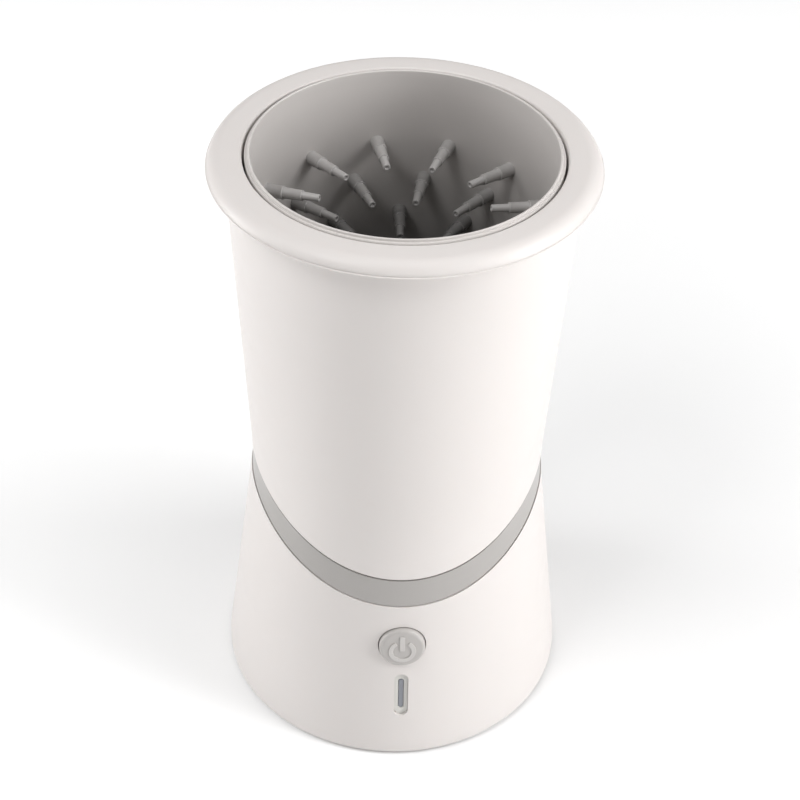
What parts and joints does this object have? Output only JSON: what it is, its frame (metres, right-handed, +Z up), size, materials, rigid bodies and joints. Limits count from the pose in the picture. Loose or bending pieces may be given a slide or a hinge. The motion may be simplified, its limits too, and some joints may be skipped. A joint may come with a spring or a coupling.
{
  "type": "paw washer cup",
  "caption": "Battery-driven paw washing cup: white waisted body, rolled rim, spinning brush drum with soft stepped fingers, power button and light strip.",
  "frame": {"origin": "on the floor under the cup's axis", "axes": "+Z up along the cup's axis, -Y towards the power button"},
  "size_m": [0.1128, 0.1128, 0.197],
  "materials": {
    "white_shell": "satin",
    "cover_plastic": "matte",
    "grey_trim": "satin",
    "drum_grey": "satin",
    "bristle_silicone": "matte",
    "flap_silicone": "matte",
    "strip_lens": "gloss",
    "black_rubber": "matte",
    "inner_plastic": "matte",
    "black_plastic": "matte",
    "acetal": "satin",
    "steel": "brushed",
    "screw_steel": "satin",
    "sintered_bronze": "satin",
    "pinion_brass": "satin",
    "copper_winding": "satin",
    "magnet": "matte",
    "nickel_tab": "satin",
    "circuit_board": "satin",
    "cell_wrap": "gloss",
    "led_white": "gloss",
    "wire_jacket": "satin"
  },
  "bodies": {
    "housing": {"water_well": "white_shell", "upper_shell": "white_shell", "trim_band": "grey_trim", "base_shell": "white_shell", "shaft_seal": "black_rubber", "rim_gasket": "black_rubber", "gearbox_plate": "inner_plastic", "gearbox_cover": "inner_plastic", "lower_bush": "sintered_bronze", "upper_bush": "sintered_bronze", "idler_pin": "steel", "motor_can": "steel", "motor_end_cap": "black_plastic", "motor_magnets": "magnet", "chassis_screws": "screw_steel", "gearbox_cover_screws": "screw_steel", "bottom_cover_screws": "screw_steel", "motor_screws": "screw_steel", "tact_switch_body": "black_plastic", "main_board": "circuit_board", "board_screws": "screw_steel", "status_led": "led_white", "indicator_panel": "grey_trim", "light_strip": "strip_lens", "usb_socket_shell": "steel", "usb_socket_tongue": "black_plastic", "charge_board": "circuit_board", "bottom_cover": "cover_plastic", "rubber_feet": "black_rubber", "bottom_gasket": "black_rubber", "battery_cell": "cell_wrap", "battery_holder": "inner_plastic", "battery_tabs": "nickel_tab", "motor_leads": "wire_jacket", "battery_leads": "wire_jacket"},
    "drive_shaft": {"output_shaft": "steel", "output_gear": "acetal", "drive_dog": "acetal", "shaft_clip": "steel"},
    "drum": {"brush_drum": "drum_grey", "drive_socket": "acetal", "bristle_row_1": "bristle_silicone", "bristle_row_2": "bristle_silicone", "bristle_row_3": "bristle_silicone", "bristle_row_4": "bristle_silicone", "bristle_row_5": "bristle_silicone", "bristle_row_6": "bristle_silicone"},
    "idler": {"idler_gear": "acetal"},
    "motor_rotor": {"motor_shaft": "steel", "motor_armature": "copper_winding", "motor_pinion": "pinion_brass"},
    "button": {"power_button": "grey_trim", "switch_plunger": "black_plastic"},
    "port_flap": {"port_cover": "flap_silicone"}
  },
  "joints": [
    {"name": "drum_spin", "type": "hinge", "parent": "housing", "child": "drive_shaft", "pos_m": [0, 0, 0.08], "axis": [0, 0, 1], "continuous": true},
    {"name": "drum_lift", "type": "slide", "parent": "drive_shaft", "child": "drum", "axis": [0, 0, 1], "range_m": [0, 0.125]},
    {"name": "idler_spin", "type": "hinge", "parent": "housing", "child": "idler", "pos_m": [0, 0.018, 0.068], "axis": [0, 0, 1], "continuous": true},
    {"name": "motor_spin", "type": "hinge", "parent": "housing", "child": "motor_rotor", "pos_m": [-0.01317, 0.01505, 0.045], "axis": [0, 0, 1], "continuous": true},
    {"name": "button_press", "type": "slide", "parent": "housing", "child": "button", "axis": [0, 0.9923, -0.1241], "range_m": [0, 0.0008], "stiffness_N_per_m": 1500},
    {"name": "port_flap_hinge", "type": "hinge", "parent": "housing", "child": "port_flap", "pos_m": [0, 0.05361, 0.0247], "axis": [1, 0, 0], "range_deg": [0, 110], "stiffness_Nm_per_rad": 0.0005}
  ],
  "couplings": [
    {"joint": "idler_spin", "follows": "drum_spin", "ratio": -4},
    {"joint": "motor_spin", "follows": "drum_spin", "ratio": 14}
  ]
}
